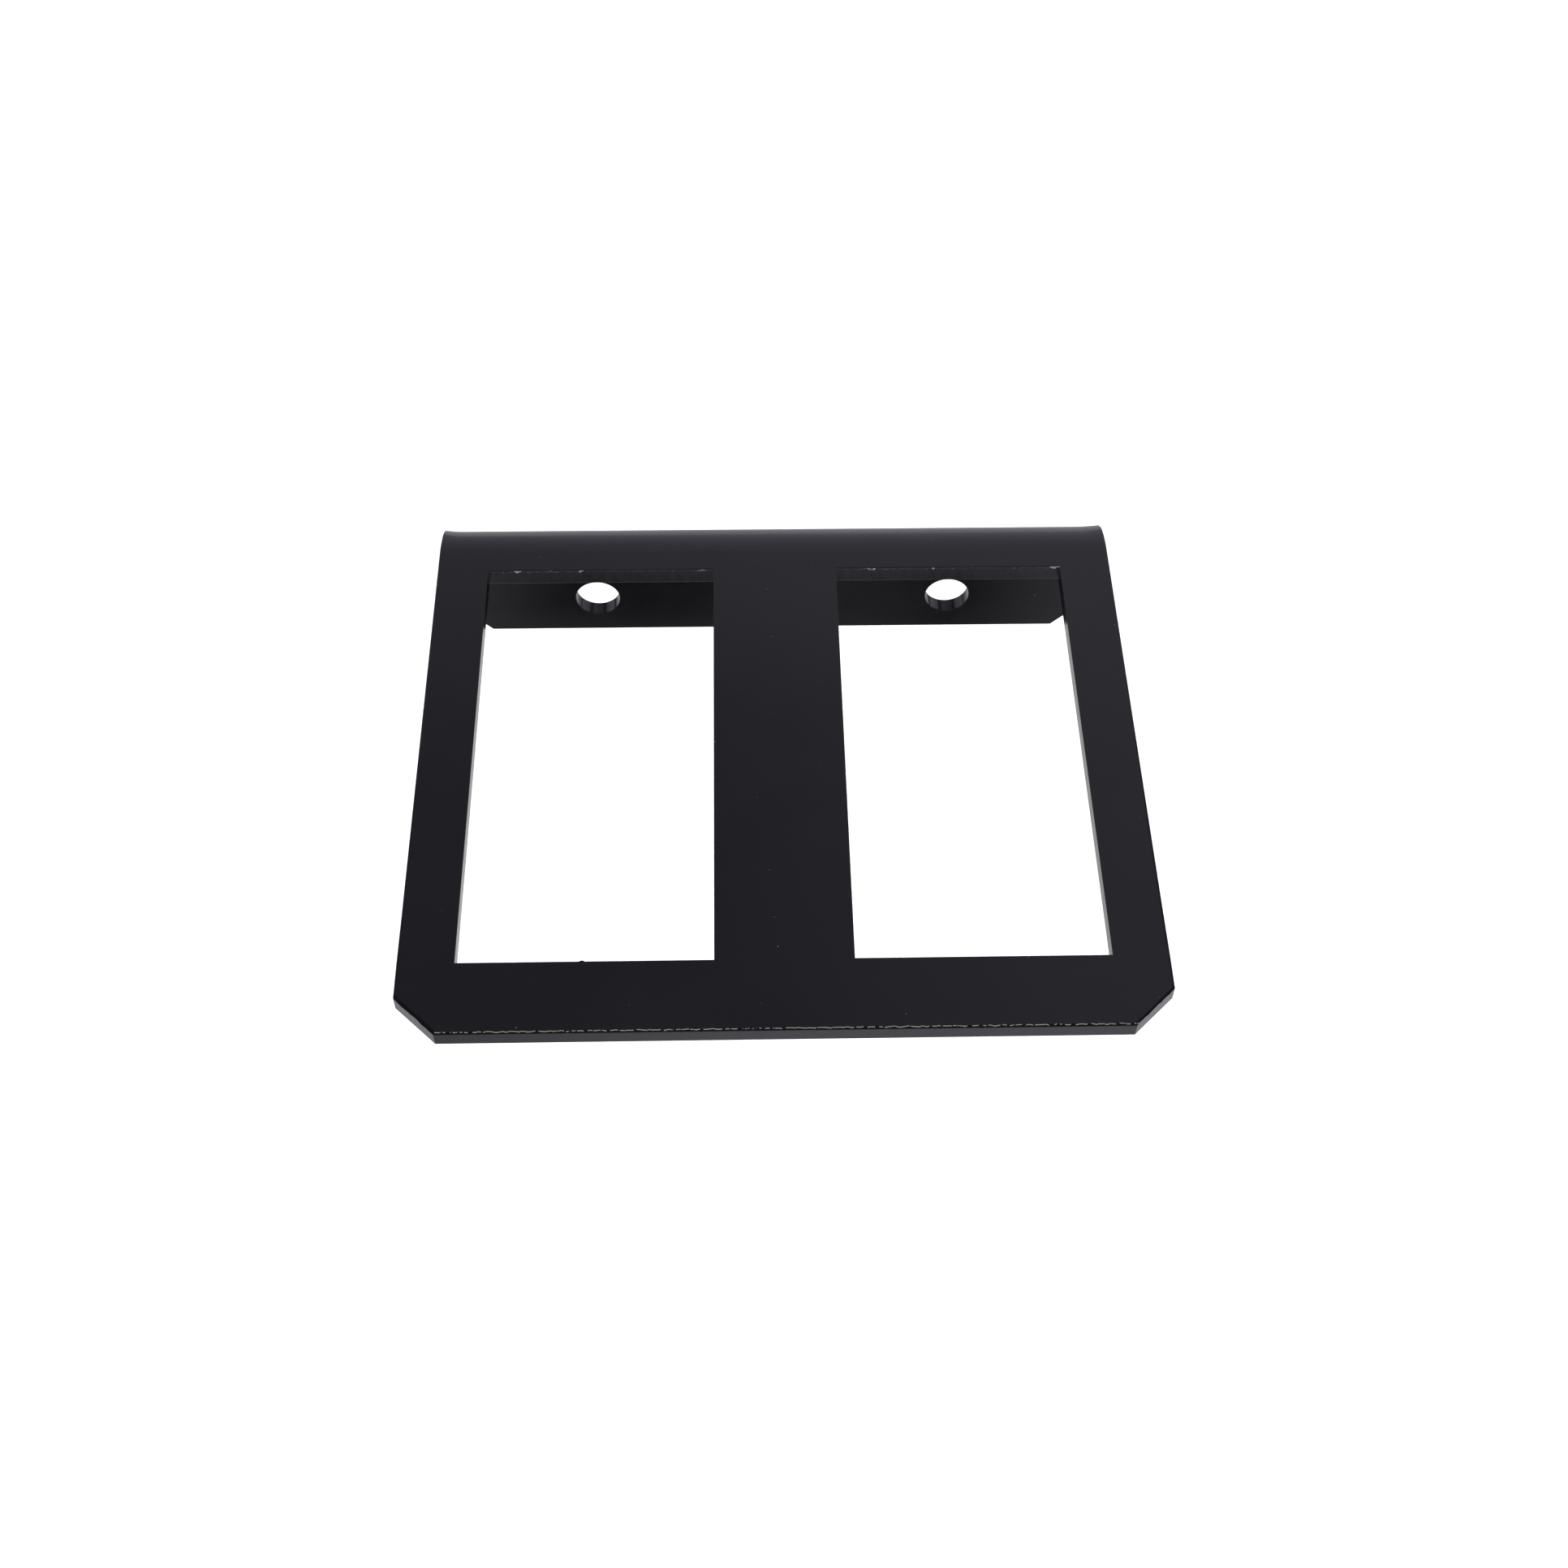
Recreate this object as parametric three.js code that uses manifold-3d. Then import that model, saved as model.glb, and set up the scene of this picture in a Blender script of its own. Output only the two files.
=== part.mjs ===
// Black sheet-steel mounting bracket: a flat platform with two windows, bent once
// into a short flange that bolts to an upright surface.
//
// Millimetres, +Z up. The origin is on the flange's outer face, midway between the
// two bolt holes. +X runs along the width, +Y points out of the flange towards the
// surface it is bolted to, and the platform reaches out towards -Y.

import * as THREE from 'three';
import { mergeVertices } from 'three/addons/utils/BufferGeometryUtils.js';
import Module from 'manifold-3d';

// The sheet
const WIDTH = 130;
const THICKNESS = 3.1; // 3 mm steel with its coat on both faces
const INNER_BEND_RADIUS = 12;
const OUTER_BEND_RADIUS = INNER_BEND_RADIUS + THICKNESS;
const BEND_STEPS = 24;

// The platform
const PLATFORM_DEPTH = 126; // front edge to the flange's outer face
const FRONT_CORNER_CUT = 7.2; // 45 degree cuts on the two front corners
const CENTRE_BAR = 23.7; // between the windows
const WINDOW_WIDTH = 43.45;
const WINDOW_LENGTH = 91.6;
const FRONT_BAR = 14.1; // front edge to the windows

// The flange
const FLANGE_DROP = 33.7; // platform's top face to the flange's lower edge
const BOLT_HOLE_RADIUS = 4.5;
const BOLT_SPACING = 72.4;
const BOLT_BELOW_TOP = 24.8;
const FLANGE_CORNER_CUT = 6.3; // 45 degree cuts on the two lower corners
const HOLE_SIDES = 48;

const TOP_Z = BOLT_BELOW_TOP;
const FRONT_Y = -PLATFORM_DEPTH;
const FLANGE_FOOT_Z = TOP_Z - FLANGE_DROP;
const PAST = 5; // how far a cutter reaches past the sheet

const wasm = await Module();
wasm.setup();

function toSolid(geometry) {
  const bare = geometry.clone();
  bare.deleteAttribute('normal');
  bare.deleteAttribute('uv');
  const merged = mergeVertices(bare, 1e-5);
  return new wasm.Manifold(new wasm.Mesh({
    numProp: 3,
    vertProperties: new Float32Array(merged.attributes.position.array),
    triVerts: new Uint32Array(merged.index.array),
  }));
}

function toGeometry(solid) {
  const mesh = solid.getMesh();
  const geometry = new THREE.BufferGeometry();
  geometry.setAttribute('position', new THREE.BufferAttribute(mesh.vertProperties, 3));
  geometry.setIndex(new THREE.BufferAttribute(mesh.triVerts, 1));
  geometry.computeVertexNormals();
  return geometry;
}

// A prism with its outline in the XY plane, from height z0 to z1.
function uprightPrism(outline, z0, z1) {
  const shape = new THREE.Shape(outline.map(([x, y]) => new THREE.Vector2(x, y)));
  const geometry = new THREE.ExtrudeGeometry(shape, { depth: z1 - z0, bevelEnabled: false });
  geometry.translate(0, 0, z0);
  return geometry;
}

// A prism with its outline in the XZ plane, from y0 to y1.
function fromFrontPrism(outline, y0, y1) {
  const shape = new THREE.Shape(outline.map(([x, z]) => new THREE.Vector2(x, z)));
  const geometry = new THREE.ExtrudeGeometry(shape, { depth: y1 - y0, bevelEnabled: false });
  geometry.rotateX(Math.PI / 2);
  geometry.translate(0, y1, 0);
  return geometry;
}

// The bent strip, full width: its side outline drawn in Y and Z, then run along X.
function bentStrip() {
  const bendY = -OUTER_BEND_RADIUS;
  const bendZ = TOP_Z - OUTER_BEND_RADIUS;
  const outline = [[FRONT_Y, TOP_Z]];
  for (let i = 0; i <= BEND_STEPS; i += 1) {
    const turn = (i / BEND_STEPS) * (Math.PI / 2);
    const y = bendY + OUTER_BEND_RADIUS * Math.sin(turn);
    const z = bendZ + OUTER_BEND_RADIUS * Math.cos(turn);
    outline.push([y, z]);
  }
  outline.push([0, FLANGE_FOOT_Z]);
  outline.push([-THICKNESS, FLANGE_FOOT_Z]);
  for (let i = BEND_STEPS; i >= 0; i -= 1) {
    const turn = (i / BEND_STEPS) * (Math.PI / 2);
    const y = bendY + INNER_BEND_RADIUS * Math.sin(turn);
    const z = bendZ + INNER_BEND_RADIUS * Math.cos(turn);
    outline.push([y, z]);
  }
  outline.push([FRONT_Y, TOP_Z - THICKNESS]);

  const shape = new THREE.Shape(outline.map(([y, z]) => new THREE.Vector2(y, z)));
  const geometry = new THREE.ExtrudeGeometry(shape, { depth: WIDTH, bevelEnabled: false });
  // The shape's own x, y and depth become the part's Y, Z and X.
  const turned = new THREE.Matrix4().makeBasis(
    new THREE.Vector3(0, 1, 0),
    new THREE.Vector3(0, 0, 1),
    new THREE.Vector3(1, 0, 0),
  );
  geometry.applyMatrix4(turned);
  geometry.translate(-WIDTH / 2, 0, 0);
  return geometry;
}

function windowCutter(side) {
  const inner = side * (CENTRE_BAR / 2);
  const outer = side * (CENTRE_BAR / 2 + WINDOW_WIDTH);
  const left = Math.min(inner, outer);
  const right = Math.max(inner, outer);
  const front = FRONT_Y + FRONT_BAR;
  const rear = front + WINDOW_LENGTH;
  const outline = [[left, front], [right, front], [right, rear], [left, rear]];
  return uprightPrism(outline, TOP_Z - THICKNESS - PAST, TOP_Z + PAST);
}

function frontCornerCutter(side) {
  const edge = side * (WIDTH / 2);
  const outside = side * (WIDTH / 2 + PAST);
  const slope = PAST + FRONT_CORNER_CUT;
  const outline = [
    [outside, FRONT_Y + slope],
    [edge - side * slope, FRONT_Y - PAST],
    [outside, FRONT_Y - PAST],
  ];
  return uprightPrism(outline, TOP_Z - THICKNESS - PAST, TOP_Z + PAST);
}

function flangeCornerCutter(side) {
  const edge = side * (WIDTH / 2);
  const outside = side * (WIDTH / 2 + PAST);
  const slope = PAST + FLANGE_CORNER_CUT;
  const outline = [
    [outside, FLANGE_FOOT_Z + slope],
    [edge - side * slope, FLANGE_FOOT_Z - PAST],
    [outside, FLANGE_FOOT_Z - PAST],
  ];
  return fromFrontPrism(outline, -THICKNESS - PAST, PAST);
}

function boltHoleCutter(side) {
  const length = THICKNESS + 2 * PAST;
  const geometry = new THREE.CylinderGeometry(
    BOLT_HOLE_RADIUS, BOLT_HOLE_RADIUS, length, HOLE_SIDES,
  );
  geometry.translate(side * (BOLT_SPACING / 2), -THICKNESS / 2, 0);
  return geometry;
}

function bentPlate() {
  let solid = toSolid(bentStrip());
  for (const side of [-1, 1]) {
    solid = solid.subtract(toSolid(windowCutter(side)));
    solid = solid.subtract(toSolid(frontCornerCutter(side)));
    solid = solid.subtract(toSolid(flangeCornerCutter(side)));
    solid = solid.subtract(toSolid(boltHoleCutter(side)));
  }
  return toGeometry(solid);
}

const blackCoat = new THREE.MeshStandardMaterial({
  color: 0x1b1b1e,
  roughness: 0.42,
  metalness: 0,
});

const group = new THREE.Group();
const bracket = new THREE.Mesh(bentPlate(), blackCoat);
bracket.name = 'bent_plate';
group.add(bracket);

export default group;
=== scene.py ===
import math
import random

import bmesh
import bpy
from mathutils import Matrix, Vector


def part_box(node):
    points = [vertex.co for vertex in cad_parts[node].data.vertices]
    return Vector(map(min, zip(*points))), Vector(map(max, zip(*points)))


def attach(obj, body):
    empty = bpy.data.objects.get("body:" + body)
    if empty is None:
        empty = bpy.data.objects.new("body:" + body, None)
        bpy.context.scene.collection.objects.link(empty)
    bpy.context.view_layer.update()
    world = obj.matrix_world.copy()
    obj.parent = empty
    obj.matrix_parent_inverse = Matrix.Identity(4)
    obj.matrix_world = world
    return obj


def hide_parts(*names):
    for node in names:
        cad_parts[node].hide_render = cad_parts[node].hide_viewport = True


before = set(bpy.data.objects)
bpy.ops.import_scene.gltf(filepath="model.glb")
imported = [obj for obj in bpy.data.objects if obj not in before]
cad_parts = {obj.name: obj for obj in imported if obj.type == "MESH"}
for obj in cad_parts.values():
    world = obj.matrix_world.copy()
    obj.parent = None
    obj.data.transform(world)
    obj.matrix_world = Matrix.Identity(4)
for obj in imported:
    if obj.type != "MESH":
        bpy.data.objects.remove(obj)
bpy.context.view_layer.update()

# A black coated sheet-steel mounting bracket: a flat platform with two windows, bent once into a
# short flange with two bolt holes. Metres, +Z up. The origin is on the flange's outer face,
# between the bolt holes, and the platform reaches out towards -Y.

MM = 0.001

plate_low, plate_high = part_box("bent_plate")

# ---------------------------------------------------------------- the sheet, in metres
SHEET = 3.1 * MM
BEND_OUTER = 15.1 * MM
BEND_STEPS = 40
CENTRE_BAR = 23.7 * MM
WINDOW_WIDTH = 43.45 * MM
WINDOW_LENGTH = 91.6 * MM
FRONT_BAR = 14.1 * MM
FRONT_CUT = 7.2 * MM
FLANGE_CUT = 6.3 * MM
HOLE_RADIUS = 4.5 * MM
HOLE_SPACING = 72.4 * MM
HOLE_SIDES = 96

# ---------------------------------------------------------------- what the tools left on it
NIB_X = -34.0 * MM  # the laser's stub on the left window's front edge
NIB_WIDTH = 0.9 * MM
NIB_REACH = 0.18 * MM
NIB_TAPER = 0.4
FLARE_LIFT = 0.25 * MM  # how far the bend's ends lift
FLARE_REACHES = {-1: 3.5 * MM, 1: 5.0 * MM}  # how far in from the left and the right end
FLARE_STEPS = 5
ROLL_WIDTH = 0.60 * MM  # the outside edges lean down over this width
ROLL_DROP = 0.15 * MM  # at the front corners, less towards the bend
ROLL_STEPS = 6
BURR_DEPTH = 0.30 * MM  # how far the corner cuts' top edges dip here and there
BURR_RISE = 0.12 * MM  # and how far they rise
BURR_STEPS = 16
BURR_SEED = 4

# ---------------------------------------------------------------- how far the coat rounds an edge
FRONT_ROUND = 0.34 * MM  # the front top edge
REAR_ROUND = 0.15 * MM  # the windows' rear edges, on the underside
OUTER_ROUND = 0.12 * MM  # sides, flange and bolt holes
SHARP_ROUND = 0.08 * MM  # the windows' other edges and the platform's underside
BURR_ROUND = 0.03 * MM  # the corner cuts' top edges, apart from their ends
BURR_END = 0.5 * MM
NIB_ROUND = 0.2 * NIB_REACH
ROUND_STEPS = 4
ROUNDED_FROM = math.radians(20)  # an edge that turns less than this isn't rounded

# ---------------------------------------------------------------- the coat's patterns
PEEL_PITCH = 1.6 * MM  # orange peel, from one crest to the next
PEEL_HEIGHT = 0.003 * MM
CLOUD_PITCH = 30 * MM  # faint changes of the black
GLOSS_PITCH = 9 * MM
STREAK_PITCH = 0.5 * MM  # marks of the laser, across the cut walls
STREAK_HEIGHT = 0.0025 * MM
STREAK_SQUEEZE = 0.12  # a streak's width by its length
SPECK_SPACING = 11 * MM
SPECK_RADIUS = 0.13 * MM
DASH_PITCH = 0.9 * MM  # the thin coat and its painted highlight on a sharp edge
CHIP_GLINT_PITCH = 4.0 * MM
ZONE_PITCH = 13 * MM  # stretches with more or fewer dashes
WAVE_PITCH = 1.3 * MM
WAVE_WIDTH = 0.17 * MM
DASH_BLUR = 0.02  # how softly a dash or chip ends

# ---------------------------------------------------------------- floor, light and camera
FLOOR_HEIGHT = -0.40
FLOOR_SIZE = 12.0
FLOOR_LIGHT_HEIGHT = -0.14
CARD_HEIGHT = -75 * MM
CARD_DEPTH = 1.6
CARD_WIDTH = 6.4
CAMERA_PLACE = Vector((-6.691, -316.009, 318.22)) * MM
CAMERA_TURN = (36.3573, -0.5785, -1.2823)  # degrees about X, Y and Z

# ---------------------------------------------------------------- places on the plate
SIDE = plate_high.x
TOP = plate_high.z
FRONT = plate_low.y
FOOT = plate_low.z
BEND_START = -BEND_OUTER
BEND_FOOT = TOP - BEND_OUTER
WINDOW_FRONT = FRONT + FRONT_BAR
WINDOW_REAR = WINDOW_FRONT + WINDOW_LENGTH
WINDOW_INNER = CENTRE_BAR / 2
WINDOW_OUTER = WINDOW_INNER + WINDOW_WIDTH
CORNER = SIDE - FRONT - FRONT_CUT  # what |x| - y is along the front corner cuts
TINY = 1e-6  # places closer than this are the same place
CLOSE = 0.01 * MM


# ---------------------------------------------------------------- small helpers
def deselect_all():
    for item in bpy.context.selected_objects:
        item.select_set(False)


def only(obj):
    deselect_all()
    obj.select_set(True)
    bpy.context.view_layer.objects.active = obj
    return obj


def in_edit(obj):
    only(obj)
    bpy.ops.object.mode_set(mode="EDIT")
    return bmesh.from_edit_mesh(obj.data)


def pick(obj, kind, test):
    """In edit mode, selects the verts, edges or faces whose middle passes the test."""
    bm = bmesh.from_edit_mesh(obj.data)
    bpy.ops.mesh.select_mode(type=kind)
    bpy.ops.mesh.select_all(action="DESELECT")
    group = {"VERT": bm.verts, "EDGE": bm.edges, "FACE": bm.faces}[kind]
    for item in group:
        if kind == "VERT":
            middle = item.co
        elif kind == "EDGE":
            middle = (item.verts[0].co + item.verts[1].co) / 2
        else:
            middle = item.calc_center_median()
        if test(middle):
            item.select_set(True)
    bm.select_flush_mode()
    bmesh.update_edit_mesh(obj.data)


def cut(obj, point, normal, test=None):
    """Cuts the picked faces along a plane."""
    pick(obj, "FACE", test or (lambda middle: True))
    bpy.ops.mesh.bisect(plane_co=point, plane_no=normal, use_fill=False)


def apply_all(obj):
    only(obj)
    for modifier in list(obj.modifiers):
        bpy.ops.object.modifier_apply(modifier=modifier.name)


# ---------------------------------------------------------------- the bent plate
def sheet_blank():
    """The outer skin of the sheet: platform, bend and flange in one surface."""
    deselect_all()
    depth = BEND_START - FRONT
    bpy.ops.mesh.primitive_plane_add(size=1, location=(0, FRONT + depth / 2, TOP))
    skin = bpy.context.object
    skin.name = "coated_plate"
    skin.scale = (2 * SIDE, depth, 1)
    bpy.ops.object.transform_apply(location=True, rotation=True, scale=True)

    in_edit(skin)
    pick(skin, "EDGE", lambda middle: abs(middle.y - BEND_START) < TINY)
    bpy.ops.mesh.spin(
        steps=BEND_STEPS,
        angle=math.pi / 2,
        center=(0, BEND_START, BEND_FOOT),
        axis=(1, 0, 0),
    )
    bm = bmesh.from_edit_mesh(skin.data)
    lowest = min(vert.co.z for vert in bm.verts)
    pick(skin, "EDGE", lambda middle: abs(middle.z - lowest) < TINY)
    bpy.ops.mesh.extrude_region_move(TRANSFORM_OT_translate={"value": (0, 0, FOOT - BEND_FOOT)})
    bpy.ops.mesh.select_all(action="SELECT")
    bpy.ops.mesh.remove_doubles(threshold=0.1 * TINY)
    bpy.ops.mesh.normals_make_consistent(inside=False)
    bpy.ops.object.mode_set(mode="OBJECT")
    return skin


def on_platform(middle):
    return middle.z > TOP - TINY and middle.y < BEND_START


def on_flange(middle):
    return middle.y > -TINY and middle.z < BEND_FOOT


def open_windows(skin):
    in_edit(skin)
    for x in (-WINDOW_OUTER, -WINDOW_INNER, WINDOW_INNER, WINDOW_OUTER):
        cut(skin, (x, 0, 0), (1, 0, 0))
    for y in (WINDOW_FRONT, WINDOW_REAR):
        cut(skin, (0, y, 0), (0, 1, 0), on_platform)
    pick(
        skin,
        "FACE",
        lambda middle: on_platform(middle)
        and WINDOW_FRONT < middle.y < WINDOW_REAR
        and WINDOW_INNER < abs(middle.x) < WINDOW_OUTER,
    )
    bpy.ops.mesh.delete(type="FACE")
    bpy.ops.object.mode_set(mode="OBJECT")


def leave_nib(skin):
    """The small stub that the laser leaves where it closes the left window's outline."""
    in_edit(skin)
    for x in (NIB_X - NIB_WIDTH / 2, NIB_X + NIB_WIDTH / 2):
        cut(skin, (x, 0, 0), (1, 0, 0), lambda middle: middle.y < WINDOW_FRONT)
    pick(
        skin,
        "EDGE",
        lambda middle: abs(middle.y - WINDOW_FRONT) < TINY
        and abs(middle.x - NIB_X) < NIB_WIDTH / 2,
    )
    bpy.ops.mesh.extrude_region_move(TRANSFORM_OT_translate={"value": (0, NIB_REACH, 0)})
    bpy.ops.transform.resize(value=(NIB_TAPER, 1, 1), center_override=(NIB_X, WINDOW_FRONT, TOP))
    bpy.ops.object.mode_set(mode="OBJECT")


def cut_corners(skin):
    """The 45 degree cuts on the platform's front corners and the flange's lower ones."""
    in_edit(skin)
    for side in (-1, 1):
        cut(skin, (side * SIDE, FRONT + FRONT_CUT, TOP), (side, -1, 0), on_platform)
        pick(
            skin,
            "FACE",
            lambda middle: on_platform(middle)
            and side * middle.x - middle.y > CORNER + TINY,
        )
        bpy.ops.mesh.delete(type="FACE")
        cut(skin, (side * SIDE, 0, FOOT + FLANGE_CUT), (side, 0, -1), on_flange)
        pick(
            skin,
            "FACE",
            lambda middle: on_flange(middle)
            and side * middle.x - middle.z > SIDE - FOOT - FLANGE_CUT + TINY,
        )
        bpy.ops.mesh.delete(type="FACE")
    bpy.ops.object.mode_set(mode="OBJECT")


def flare_bend_ends(skin):
    """Bending stretches the outside of a thick sheet, so both ends of the bend lift a little."""
    in_edit(skin)
    for side, reach in FLARE_REACHES.items():
        for step in range(1, FLARE_STEPS + 1):
            x = side * (SIDE - reach * step / FLARE_STEPS)
            cut(skin, (x, 0, 0), (1, 0, 0), lambda middle: middle.y > BEND_START)
        pick(
            skin,
            "VERT",
            lambda place: side * place.x > SIDE - TINY
            and place.y > BEND_START + 0.45 * BEND_OUTER
            and place.z > TOP - 0.55 * BEND_OUTER,
        )
        bpy.ops.transform.shrink_fatten(
            value=FLARE_LIFT,
            use_even_offset=False,
            use_proportional_edit=True,
            proportional_edit_falloff="SHARP",
            proportional_size=reach,
            use_proportional_connected=True,
        )
    bpy.ops.object.mode_set(mode="OBJECT")


def give_thickness(skin):
    wall = skin.modifiers.new("sheet", "SOLIDIFY")
    wall.thickness = SHEET
    wall.offset = -1
    wall.use_even_offset = True
    apply_all(skin)
    in_edit(skin)
    for side in (-1, 1):  # the flared ends are cut square again
        pick(skin, "VERT", lambda place: side * place.x > SIDE + 0.1 * TINY)
        bpy.ops.transform.resize(value=(0, 1, 1), center_override=(side * SIDE, 0, 0))
    bpy.ops.object.mode_set(mode="OBJECT")


def drill_bolt_holes(plate):
    for side in (-1, 1):
        deselect_all()
        bpy.ops.mesh.primitive_cylinder_add(
            vertices=HOLE_SIDES,
            radius=HOLE_RADIUS,
            depth=6 * SHEET,
            location=(side * HOLE_SPACING / 2, -SHEET / 2, 0),
            rotation=(math.pi / 2, 0, 0),
        )
        drill = bpy.context.object
        bpy.ops.object.transform_apply(location=True, rotation=True, scale=True)
        hole = plate.modifiers.new("hole", "BOOLEAN")
        hole.operation = "DIFFERENCE"
        hole.solver = "EXACT"
        hole.object = drill
        apply_all(plate)
        bpy.data.objects.remove(drill, do_unlink=True)


def roll_outer_edges(plate):
    """The outside edges lean down a little: most at the front corners, nothing at the bend."""
    front = FRONT + FRONT_CUT + ROLL_WIDTH * math.sqrt(2)
    in_edit(plate)
    for side in (-1, 1):
        cut(plate, (side * (SIDE - ROLL_WIDTH), 0, 0), (1, 0, 0), on_platform)
        cut(plate, (side * SIDE, front, 0), (side, -1, 0), on_platform)
        stations = [front + (BEND_START - front) * step / ROLL_STEPS for step in range(ROLL_STEPS)]
        for y in stations[1:]:
            cut(
                plate,
                (0, y, 0),
                (0, 1, 0),
                lambda middle: on_platform(middle) and side * middle.x > SIDE - ROLL_WIDTH,
            )
        for step, y in enumerate(stations):
            pick(
                plate,
                "VERT",
                lambda place: side * place.x > SIDE - TINY
                and place.z > TOP - TINY
                and abs(place.y - y) < TINY,
            )
            bpy.ops.transform.translate(value=(0, 0, -ROLL_DROP * (1 - step / ROLL_STEPS)))
        pick(
            plate,
            "VERT",
            lambda place: place.z > TOP - TINY and side * place.x - place.y > CORNER - TINY,
        )
        bpy.ops.transform.translate(value=(0, 0, -ROLL_DROP))
    bpy.ops.object.mode_set(mode="OBJECT")


def leave_burrs(plate):
    """The front corner cuts were left rough, so their top edges are jagged."""
    burr = random.Random(BURR_SEED)
    in_edit(plate)
    for side in (-1, 1):
        pick(
            plate,
            "EDGE",
            lambda middle: middle.z > TOP - ROLL_DROP - TINY
            and side * middle.x - middle.y > CORNER - TINY
            and side * middle.x < SIDE - ROLL_WIDTH,
        )
        bpy.ops.mesh.subdivide(number_cuts=BURR_STEPS - 1)
        for step in range(1, BURR_STEPS):
            y = FRONT + (FRONT_CUT - ROLL_WIDTH) * step / BURR_STEPS
            pick(
                plate,
                "VERT",
                lambda place: place.z > TOP - ROLL_DROP - TINY
                and side * place.x - place.y > CORNER - TINY
                and abs(place.y - y) < CLOSE,
            )
            lift = burr.uniform(-BURR_DEPTH, BURR_RISE)
            bpy.ops.transform.translate(value=(0, 0, lift))
    bpy.ops.object.mode_set(mode="OBJECT")


def edge_round(middle):
    """The radius of the coat on the cut edge that has this middle."""
    if abs(middle.x - NIB_X) < NIB_WIDTH and abs(middle.y - WINDOW_FRONT) < 2 * NIB_REACH:
        return NIB_ROUND
    near_top = middle.z > TOP - ROLL_DROP - BURR_DEPTH
    if near_top and middle.y < FRONT + CLOSE:
        return FRONT_ROUND
    on_corner_cut = abs(middle.x) - middle.y > CORNER - CLOSE
    if near_top and on_corner_cut and BURR_END < middle.y - FRONT < FRONT_CUT - BURR_END:
        return BURR_ROUND
    in_window = abs(middle.x) < WINDOW_OUTER + CLOSE
    underneath = middle.z < TOP - SHEET + CLOSE
    if in_window and underneath and abs(middle.y - WINDOW_REAR) < CLOSE:
        return REAR_ROUND
    if middle.y < WINDOW_REAR + CLOSE and (in_window or underneath):
        return SHARP_ROUND
    return OUTER_ROUND


def round_edges(plate):
    bm = in_edit(plate)
    weight = bm.edges.layers.float.new("bevel_weight_edge")
    for edge in bm.edges:
        if edge.is_manifold and edge.calc_face_angle() > ROUNDED_FROM:
            middle = (edge.verts[0].co + edge.verts[1].co) / 2
            edge[weight] = edge_round(middle) / FRONT_ROUND
    bmesh.update_edit_mesh(plate.data)
    bpy.ops.object.mode_set(mode="OBJECT")
    rounding = plate.modifiers.new("rounding", "BEVEL")
    rounding.width = FRONT_ROUND
    rounding.segments = ROUND_STEPS
    rounding.limit_method = "WEIGHT"
    rounding.use_clamp_overlap = False
    flat = plate.modifiers.new("flat", "WEIGHTED_NORMAL")
    flat.mode = "FACE_AREA"
    flat.weight = 50
    flat.keep_sharp = False
    only(plate)
    bpy.ops.object.shade_smooth()
    apply_all(plate)


def across_sheet(place):
    """The direction through the sheet's thickness at a place on it."""
    if place.y < BEND_START:
        return Vector((0, 0, 1))
    if place.z < BEND_FOOT:
        return Vector((0, 1, 0))
    return Vector((0, place.y - BEND_START, place.z - BEND_FOOT)).normalized()


def mark_cut_walls(plate):
    """An attribute that is 0 on the sheet's two faces and 1 on the walls that the laser left."""
    nearly_along = 0.985
    nearly_across = 0.01
    bm = in_edit(plate)
    marks = bm.verts.layers.float.new("cut_wall")
    for vert in bm.verts:
        across = across_sheet(vert.co)
        facing = [abs(face.normal.dot(across)) for face in vert.link_faces]
        if max(facing) > nearly_along:
            vert[marks] = 0
        elif min(facing) < nearly_across:
            vert[marks] = 1
        else:
            vert[marks] = 1 - sum(facing) / len(facing)
    bmesh.update_edit_mesh(plate.data)
    bpy.ops.object.mode_set(mode="OBJECT")


def coated_plate():
    plate = sheet_blank()
    open_windows(plate)
    leave_nib(plate)
    cut_corners(plate)
    flare_bend_ends(plate)
    give_thickness(plate)
    drill_bolt_holes(plate)
    roll_outer_edges(plate)
    leave_burrs(plate)
    round_edges(plate)
    mark_cut_walls(plate)
    return plate


# ---------------------------------------------------------------- materials
SMOOTH = {"interpolation_type": "SMOOTHSTEP"}
COLOUR = {"data_type": "RGBA"}
ALONG = {"noise_dimensions": "1D"}


def to_linear(hex_colour):
    channels = [int(hex_colour[i:i + 2], 16) / 255 for i in (1, 3, 5)]
    linear = [c / 12.92 if c <= 0.04045 else ((c + 0.055) / 1.055) ** 2.4 for c in channels]
    return (*linear, 1)


def add_node(tree, kind, *values, named=None, **settings):
    """Adds a node with its settings. The values go to its sockets in order, or by name: a number
    or a colour is set on the socket, and another node or one of its outputs is linked to it."""
    node = tree.nodes.new("ShaderNode" + kind)
    for name, setting in settings.items():
        setattr(node, name, setting)
    sockets = [socket for socket in node.inputs if socket.enabled]
    pairs = list(zip(sockets, values))
    for name, value in (named or {}).items():
        pairs.append((node.inputs[name], value))
    for socket, value in pairs:
        if isinstance(value, bpy.types.Node):
            value = next(output for output in value.outputs if output.enabled)
        if isinstance(value, bpy.types.NodeSocket):
            tree.links.new(value, socket)
        else:
            socket.default_value = value
    return node


def bare_material(name):
    material = bpy.data.materials.new(name)
    material.use_nodes = True
    material.node_tree.nodes.clear()
    return material


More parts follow.
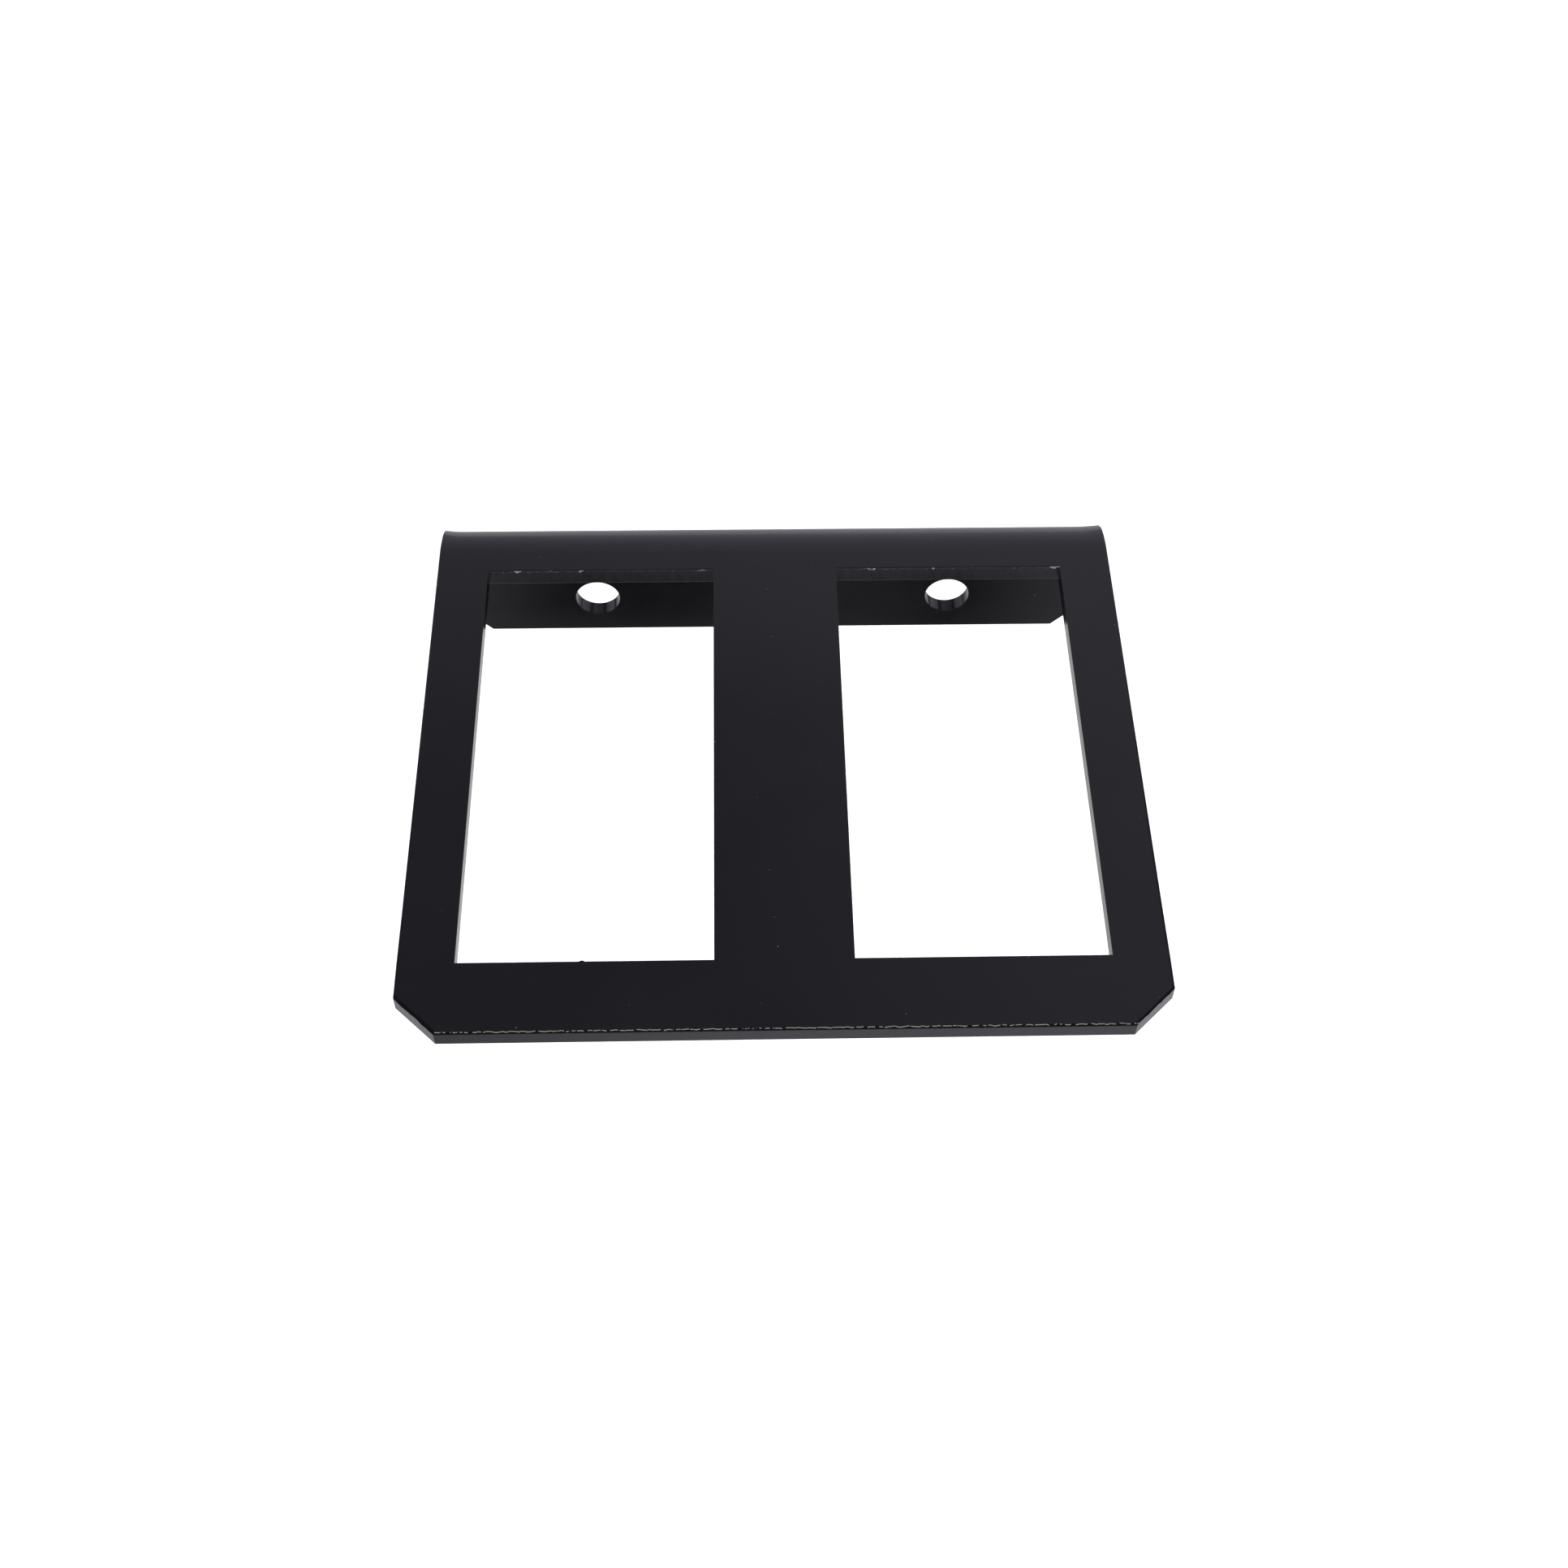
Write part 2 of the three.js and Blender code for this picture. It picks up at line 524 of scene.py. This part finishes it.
def thin_coat_and_highlight(tree, axes, edge_y, width, pitch, cover):
    """Where the coat has drawn back along an edge that runs along X, with painted highlights and
    glints on it: a broken, wavy line, with fewer dashes the more cover there is."""
    wave = add_node(tree, "TexNoise", axes["X"], 1 / WAVE_PITCH, 2.0, **ALONG)
    low_y = edge_y - WAVE_WIDTH / 2
    high_y = edge_y + WAVE_WIDTH / 2
    centre = add_node(tree, "MapRange", wave, 0.3, 0.7, low_y, high_y)
    away = add_node(tree, "Math", axes["Y"], centre, operation="SUBTRACT")
    away = add_node(tree, "Math", away, operation="ABSOLUTE")
    line = add_node(tree, "MapRange", away, width / 2, width / 4, **SMOOTH)
    near_top = add_node(tree, "MapRange", axes["Z"], TOP - 0.35 * MM, TOP - 0.25 * MM, **SMOOTH)
    line = add_node(tree, "Math", line, near_top, operation="MULTIPLY")
    zone = add_node(tree, "TexNoise", axes["X"], 1 / ZONE_PITCH, 1.0, **ALONG)
    zone = add_node(tree, "Math", zone, 0.5, -0.25, operation="MULTIPLY_ADD")
    run = add_node(tree, "TexNoise", axes["X"], 1 / pitch, 3.0, **ALONG)
    run = add_node(tree, "Math", run, zone, operation="ADD")
    dashes = add_node(tree, "MapRange", run, cover - DASH_BLUR, cover + DASH_BLUR, **SMOOTH)
    return add_node(tree, "Math", line, dashes, operation="MULTIPLY")


def window_edges(tree, axes, sideways):
    """Along the windows' rear edges: the thin coat with a faint painted highlight, painted glints
    on the chips in it, and a painted shade line behind.
    """
    past_bar = add_node(tree, "Math", sideways, WINDOW_INNER, operation="GREATER_THAN")
    inside_outer = add_node(tree, "Math", sideways, WINDOW_OUTER, operation="LESS_THAN")
    in_window = add_node(tree, "Math", past_bar, inside_outer, operation="MULTIPLY")

    coat_and_highlight = thin_coat_and_highlight(tree, axes, WINDOW_REAR + 0.10 * MM, 0.16 * MM, DASH_PITCH, 0.49)
    coat_and_highlight = add_node(tree, "Math", coat_and_highlight, in_window, operation="MULTIPLY")
    # painted glints where the coat along the windows' rear edges is chipped
    chip_glints = thin_coat_and_highlight(tree, axes, WINDOW_REAR + 0.12 * MM, 0.28 * MM, CHIP_GLINT_PITCH, 0.66)
    chip_glints = add_node(tree, "Math", chip_glints, in_window, operation="MULTIPLY")

    # painted shade line on the platform just behind the windows' rear edges
    behind = add_node(tree, "Math", axes["Y"], WINDOW_REAR + 0.36 * MM, operation="SUBTRACT")
    behind = add_node(tree, "Math", behind, operation="ABSOLUTE")
    edge_shade = add_node(tree, "MapRange", behind, 0.24 * MM, 0.12 * MM, 0.0, 0.5, **SMOOTH)
    edge_shade = add_node(tree, "Math", edge_shade, in_window, operation="MULTIPLY")
    near_top = add_node(tree, "MapRange", axes["Z"], TOP - 0.2 * MM, TOP - 0.1 * MM, **SMOOTH)
    edge_shade = add_node(tree, "Math", edge_shade, near_top, operation="MULTIPLY")
    return coat_and_highlight, chip_glints, edge_shade


def front_edge(tree, axes, sideways):
    """Along the front top edge: the thin coat with a painted highlight on it, in short dashes near
    the corners, and a painted shade line on the rounded edge in front of it."""
    coat_and_highlight = thin_coat_and_highlight(tree, axes, FRONT + 0.25 * MM, 0.17 * MM, DASH_PITCH, 0.42)
    near_corner = add_node(tree, "MapRange", sideways, SIDE - 15 * MM, SIDE - 10 * MM, **SMOOTH)
    gaps = add_node(tree, "TexNoise", axes["X"], 1 / DASH_PITCH, 1.0, **ALONG)
    gaps = add_node(tree, "MapRange", gaps, 0.46, 0.52, 1.0, 0.0, **SMOOTH)
    gaps = add_node(tree, "Math", near_corner, gaps, operation="MULTIPLY")
    left_over = add_node(tree, "Math", 1.0, gaps, operation="SUBTRACT")
    coat_and_highlight = add_node(tree, "Math", coat_and_highlight, left_over, operation="MULTIPLY")

    # painted shade line on the rounded front edge
    edge_shade = add_node(tree, "MapRange", axes["Y"], FRONT + 0.38 * MM, FRONT + 0.32 * MM, **SMOOTH)
    near_top = add_node(tree, "MapRange", axes["Z"], TOP - 0.44 * MM, TOP - 0.34 * MM, **SMOOTH)
    edge_shade = add_node(tree, "Math", edge_shade, near_top, operation="MULTIPLY")
    return coat_and_highlight, edge_shade


def dust_specks(tree, axes):
    """Where the specks of dust are, and how much each one shows."""
    along_sheet = add_node(tree, "Math", axes["Y"], axes["Z"], operation="SUBTRACT")
    place = add_node(tree, "CombineXYZ", axes["X"], along_sheet)
    cells = add_node(tree, "TexVoronoi", place, 1 / SPECK_SPACING, voronoi_dimensions="2D").outputs
    chance = add_node(tree, "SeparateColor", cells["Color"]).outputs
    radius = add_node(tree, "MapRange", chance[0], 0.45, 1.0, 0.0, SPECK_RADIUS / SPECK_SPACING)
    speck = add_node(tree, "Math", cells["Distance"], radius, operation="LESS_THAN")
    paleness = add_node(tree, "MapRange", chance[1], 0.0, 1.0, 0.3, 1.0, **SMOOTH)
    return speck, add_node(tree, "Math", speck, paleness, operation="MULTIPLY")


def black_coat():
    """Semi-gloss black powder coat on laser-cut steel: even and softly mirrored on the sheet's
    faces, with a faint orange peel; streaky on the cut walls; pale and broken where the coat has
    drawn back from the sharp front edge, with a painted highlight there over a painted shade line;
    chipped along the windows' rear edges, with a faint painted highlight, painted glints and a
    painted shade line there; and a few specks of dust baked into it."""
    material = bare_material("semi_gloss_black_powder_coat")
    tree = material.node_tree
    place = add_node(tree, "TexCoord").outputs["Object"]
    axes = add_node(tree, "SeparateXYZ", place).outputs
    sideways = add_node(tree, "Math", axes["X"], operation="ABSOLUTE")
    wall = add_node(tree, "Attribute", attribute_name="cut_wall").outputs["Fac"]
    squeeze = (1, 1, STREAK_SQUEEZE)
    streak_place = add_node(tree, "Mapping", named={"Vector": place, "Scale": squeeze})
    streak = add_node(tree, "TexNoise", streak_place, 1 / STREAK_PITCH, 2.0)
    speck, speck_paleness = dust_specks(tree, axes)
    window_thin_coat_highlight, chip_glints, window_shade = window_edges(tree, axes, sideways)
    front_thin_coat_highlight, front_shade = front_edge(tree, axes, sideways)
    edge_shade = add_node(tree, "Math", front_shade, window_shade, operation="MAXIMUM")

    cloud = add_node(tree, "TexNoise", place, 1 / CLOUD_PITCH, 2.0)
    cloud = add_node(tree, "MapRange", cloud, 0.35, 0.65, **SMOOTH)
    colour = add_node(tree, "Mix", cloud, to_linear("#08080a"), to_linear("#0a0a0c"), **COLOUR)
    tint = add_node(tree, "MapRange", streak, 0.35, 0.65, **SMOOTH)
    wall_colour = add_node(tree, "Mix", tint, to_linear("#060506"), to_linear("#0c0b0c"), **COLOUR)
    colour = add_node(tree, "Mix", wall, colour, wall_colour, **COLOUR)
    colour = add_node(tree, "Mix", speck_paleness, colour, to_linear("#5b5856"), **COLOUR)
    # faint line along the windows' rear edges: brownish thin coat with a painted highlight
    colour = add_node(tree, "Mix", window_thin_coat_highlight, colour, to_linear("#2c2726"), **COLOUR)
    # painted glints on the chips along the windows' rear edges
    colour = add_node(tree, "Mix", chip_glints, colour, to_linear("#807b76"), **COLOUR)
    # painted shade on the rounded front edge and just behind the windows' rear edges
    colour = add_node(tree, "Mix", edge_shade, colour, to_linear("#050303"), **COLOUR)
    # pale line along the front edge: the thin coat there, and a painted highlight where the
    # rounded edge catches the light
    colour = add_node(tree, "Mix", front_thin_coat_highlight, colour, to_linear("#78736c"), **COLOUR)

    gloss = add_node(tree, "TexNoise", place, 1 / GLOSS_PITCH, 3.0)
    gloss = add_node(tree, "MapRange", gloss, 0.3, 0.7, 0.155, 0.185, **SMOOTH)
    wall_gloss = add_node(tree, "MapRange", streak, 0.3, 0.7, 0.15, 0.21, **SMOOTH)
    gloss = add_node(tree, "Mix", wall, gloss, wall_gloss)
    dull = add_node(tree, "Math", edge_shade, speck, operation="MAXIMUM")
    gloss = add_node(tree, "Mix", dull, gloss, 0.5)
    shine = add_node(tree, "Mix", edge_shade, 0.5, 0.12)

    peel = add_node(tree, "TexNoise", place, 1 / PEEL_PITCH, 2.0)
    peel = add_node(tree, "Math", peel, PEEL_HEIGHT, operation="MULTIPLY")
    drag = add_node(tree, "Math", streak, STREAK_HEIGHT, operation="MULTIPLY")
    height = add_node(tree, "Mix", wall, peel, drag)
    bump = add_node(tree, "Bump", named={"Distance": 1.0, "Height": height})

    shader = add_node(
        tree,
        "BsdfPrincipled",
        named={
            "Base Color": colour,
            "Roughness": gloss,
            "Specular IOR Level": shine,
            "Normal": bump,
            "Metallic": 0,
            "IOR": 1.5,
        },
    )
    add_node(tree, "OutputMaterial", shader)
    return material


# ---------------------------------------------------------------- floor, light and camera
def plain_floor():
    """A white floor well below the bracket, which is held up as on its wall."""
    deselect_all()
    bpy.ops.mesh.primitive_plane_add(size=FLOOR_SIZE, location=(0, 0, FLOOR_HEIGHT))
    floor = bpy.context.object
    floor.name = "floor"
    material = bare_material("matt_white_floor")
    tree = material.node_tree
    white = {"Base Color": to_linear("#fafafa"), "Roughness": 0.9}
    add_node(tree, "OutputMaterial", add_node(tree, "BsdfPrincipled", named=white))
    floor.data.materials.append(material)
    return floor


def card_glow(tree, axes, sideways):
    """How bright each place of the card is: darkest under the bar between the windows, where it
    carries a painted shadow of the bracket, bright under and behind the flange, and dim far out to
    the sides."""
    # painted shadow of the bracket under the platform, darkest under the bar between the windows
    middle = add_node(tree, "Math", axes["X"], 12 * MM, operation="SUBTRACT")
    middle = add_node(tree, "Math", middle, operation="ABSOLUTE")
    middle = add_node(tree, "MapRange", middle, 38 * MM, 12 * MM, 0.05, 0.19, **SMOOTH)
    edges = add_node(tree, "MapRange", axes["X"], -100 * MM, 100 * MM, 0.84, 0.90, **SMOOTH)
    outwards = add_node(tree, "MapRange", sideways, 50 * MM, 106 * MM)
    under = add_node(tree, "Mix", outwards, middle, edges)

    front = add_node(tree, "MapRange", axes["X"], -80 * MM, 0.0, 0.65, 0.92, **SMOOTH)
    near = add_node(tree, "MapRange", axes["X"], -35 * MM, 30 * MM, 0.93, 0.74, **SMOOTH)
    far = add_node(tree, "MapRange", axes["X"], -35 * MM, 30 * MM, 0.86, 0.76, **SMOOTH)
    to_far = add_node(tree, "MapRange", axes["Y"], -50 * MM, 10 * MM, **SMOOTH)
    rear = add_node(tree, "Mix", to_far, near, far)
    to_rear = add_node(tree, "MapRange", axes["Y"], -100 * MM, -60 * MM, **SMOOTH)
    around = add_node(tree, "Mix", to_rear, front, rear)
    beyond = add_node(tree, "MapRange", axes["Y"], 90 * MM, 150 * MM, **SMOOTH)
    around = add_node(tree, "Mix", beyond, around, 0.58)

    before_rear = add_node(tree, "MapRange", axes["Y"], -54 * MM, -66 * MM, **SMOOTH)
    past_front = add_node(tree, "MapRange", axes["Y"], -150 * MM, -100 * MM, **SMOOTH)
    is_under = add_node(tree, "Math", before_rear, past_front, operation="MULTIPLY")
    glow = add_node(tree, "Mix", is_under, around, under)
    outside = add_node(tree, "MapRange", sideways, 170 * MM, 300 * MM, **SMOOTH)
    return add_node(tree, "Mix", outside, glow, 0.06)


def card_tone(tree, axes, sideways):
    """Bluish under the platform's front half, warmer further back and to the sides."""
    warmth = add_node(tree, "MapRange", axes["Y"], -60 * MM, -45 * MM, **SMOOTH)
    fading = add_node(tree, "MapRange", axes["Y"], 90 * MM, 130 * MM, 1.0, 0.0, **SMOOTH)
    warmth = add_node(tree, "Math", warmth, fading, operation="MULTIPLY")
    outside = add_node(tree, "MapRange", sideways, 95 * MM, 115 * MM, 0.0, 0.45, **SMOOTH)
    warmth = add_node(tree, "Math", warmth, outside, operation="MAXIMUM")
    return add_node(tree, "Mix", warmth, to_linear("#f3f0ff"), to_linear("#fffbf9"), **COLOUR)


def light_card():
    """A glowing card under the bracket, dimmer in the middle with a painted shadow of the bracket,
    for its walls to reflect.
    """
    deselect_all()
    bpy.ops.mesh.primitive_plane_add(size=CARD_DEPTH, location=(0, 0, CARD_HEIGHT))
    card = bpy.context.object
    card.name = "light_card"
    card.scale = (CARD_WIDTH / CARD_DEPTH, 1, 1)
    bpy.ops.object.transform_apply(location=True, rotation=True, scale=True)
    material = bare_material("glowing_card")
    tree = material.node_tree
    place = add_node(tree, "TexCoord").outputs["Object"]
    axes = add_node(tree, "SeparateXYZ", place).outputs
    sideways = add_node(tree, "Math", axes["X"], operation="ABSOLUTE")
    glow = card_glow(tree, axes, sideways)
    tone = card_tone(tree, axes, sideways)
    add_node(tree, "OutputMaterial", add_node(tree, "Emission", tone, glow))
    card.data.materials.append(material)
    card.visible_camera = False
    card.visible_diffuse = False
    card.visible_shadow = False
    return card


def soft_panel(name, place, aim, width, height, radiance):
    """A softbox of the given size, whose power gives it the given brightness."""
    light = bpy.data.lights.new(name, "AREA")
    light.shape = "RECTANGLE"
    light.size = width
    light.size_y = height
    light.energy = radiance * math.pi * width * height
    panel = bpy.data.objects.new(name, light)
    bpy.context.scene.collection.objects.link(panel)
    panel.location = place
    panel.rotation_euler = (Vector(aim) - Vector(place)).to_track_quat("-Z", "Y").to_euler()
    panel.visible_camera = False
    return panel


def light_tent():
    """A light tent for the bracket to reflect: grey rear panel, dimmer roof on the left, brighter
    front, and sides that are dark high up and pale low down. The eye sees it plain white."""
    world = bpy.data.worlds.new("light_tent")
    bpy.context.scene.world = world
    world.use_nodes = True
    tree = world.node_tree
    tree.nodes.clear()
    direction = add_node(tree, "TexCoord").outputs["Generated"]
    axes = add_node(tree, "SeparateXYZ", direction).outputs
    sideways = add_node(tree, "Math", axes["X"], operation="ABSOLUTE")

    rear = add_node(tree, "MapRange", axes["X"], -0.16, 0.03, 0.365, 0.475, **SMOOTH)
    lift = add_node(tree, "MapRange", axes["Z"], 0.58, 0.66, 1.0, 1.09, **SMOOTH)
    rear = add_node(tree, "Math", rear, lift, operation="MULTIPLY")
    roof = add_node(tree, "MapRange", axes["X"], -0.05, 0.22, 0.205, 0.42, **SMOOTH)
    upwards = add_node(tree, "MapRange", axes["Z"], 0.69, 0.76, **SMOOTH)
    tent = add_node(tree, "Mix", upwards, rear, roof)
    forwards = add_node(tree, "MapRange", axes["Y"], 0.0, -0.4, **SMOOTH)
    tent = add_node(tree, "Mix", forwards, tent, 0.8)
    sides = add_node(tree, "MapRange", axes["Z"], 0.46, 0.56, 0.70, 0.05, **SMOOTH)
    outwards = add_node(tree, "MapRange", sideways, 0.22, 0.44, **SMOOTH)
    tent = add_node(tree, "Mix", outwards, tent, sides)
    tent = add_node(tree, "Math", tent, 1.16, operation="MULTIPLY")

    seen = add_node(tree, "LightPath").outputs["Is Camera Ray"]
    white = to_linear("#ffffff")
    tone = add_node(tree, "Mix", seen, to_linear("#eeebff"), white, **COLOUR)
    strength = add_node(tree, "Mix", seen, tent, 1.0)
    add_node(tree, "OutputWorld", add_node(tree, "Background", tone, strength))


def studio():
    light_tent()
    overhead = soft_panel(
        "overhead_softbox",
        place=(0, -0.25, 1.4),
        aim=(0, -0.25, 0),
        width=1.6,
        height=0.8,
        radiance=7.5,
    )
    overhead.visible_glossy = False  # it would show as a grey patch on the platform
    soft_panel(
        "floor_light",
        place=(0, 0, FLOOR_LIGHT_HEIGHT),
        aim=(0, 0, FLOOR_HEIGHT),
        width=FLOOR_SIZE,
        height=FLOOR_SIZE,
        radiance=0.42,
    )


def set_camera():
    """Close above the front edge, looking down at the platform."""
    lens = bpy.data.cameras.new("camera")
    lens.sensor_width = 36
    lens.lens = 48.86
    lens.shift_x = -0.0036
    lens.shift_y = 0.07536
    lens.clip_start = 0.01
    lens.clip_end = 50
    camera = bpy.data.objects.new("camera", lens)
    bpy.context.scene.collection.objects.link(camera)
    camera.location = CAMERA_PLACE
    camera.rotation_euler = [math.radians(angle) for angle in CAMERA_TURN]
    bpy.context.scene.camera = camera


# ---------------------------------------------------------------- putting it together
plate = coated_plate()
coat = black_coat()
plate.data.materials.clear()
plate.data.materials.append(coat)
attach(plate, "root")
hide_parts("bent_plate")

plain_floor()
light_card()
studio()
set_camera()
bpy.context.scene.view_settings.view_transform = "Standard"
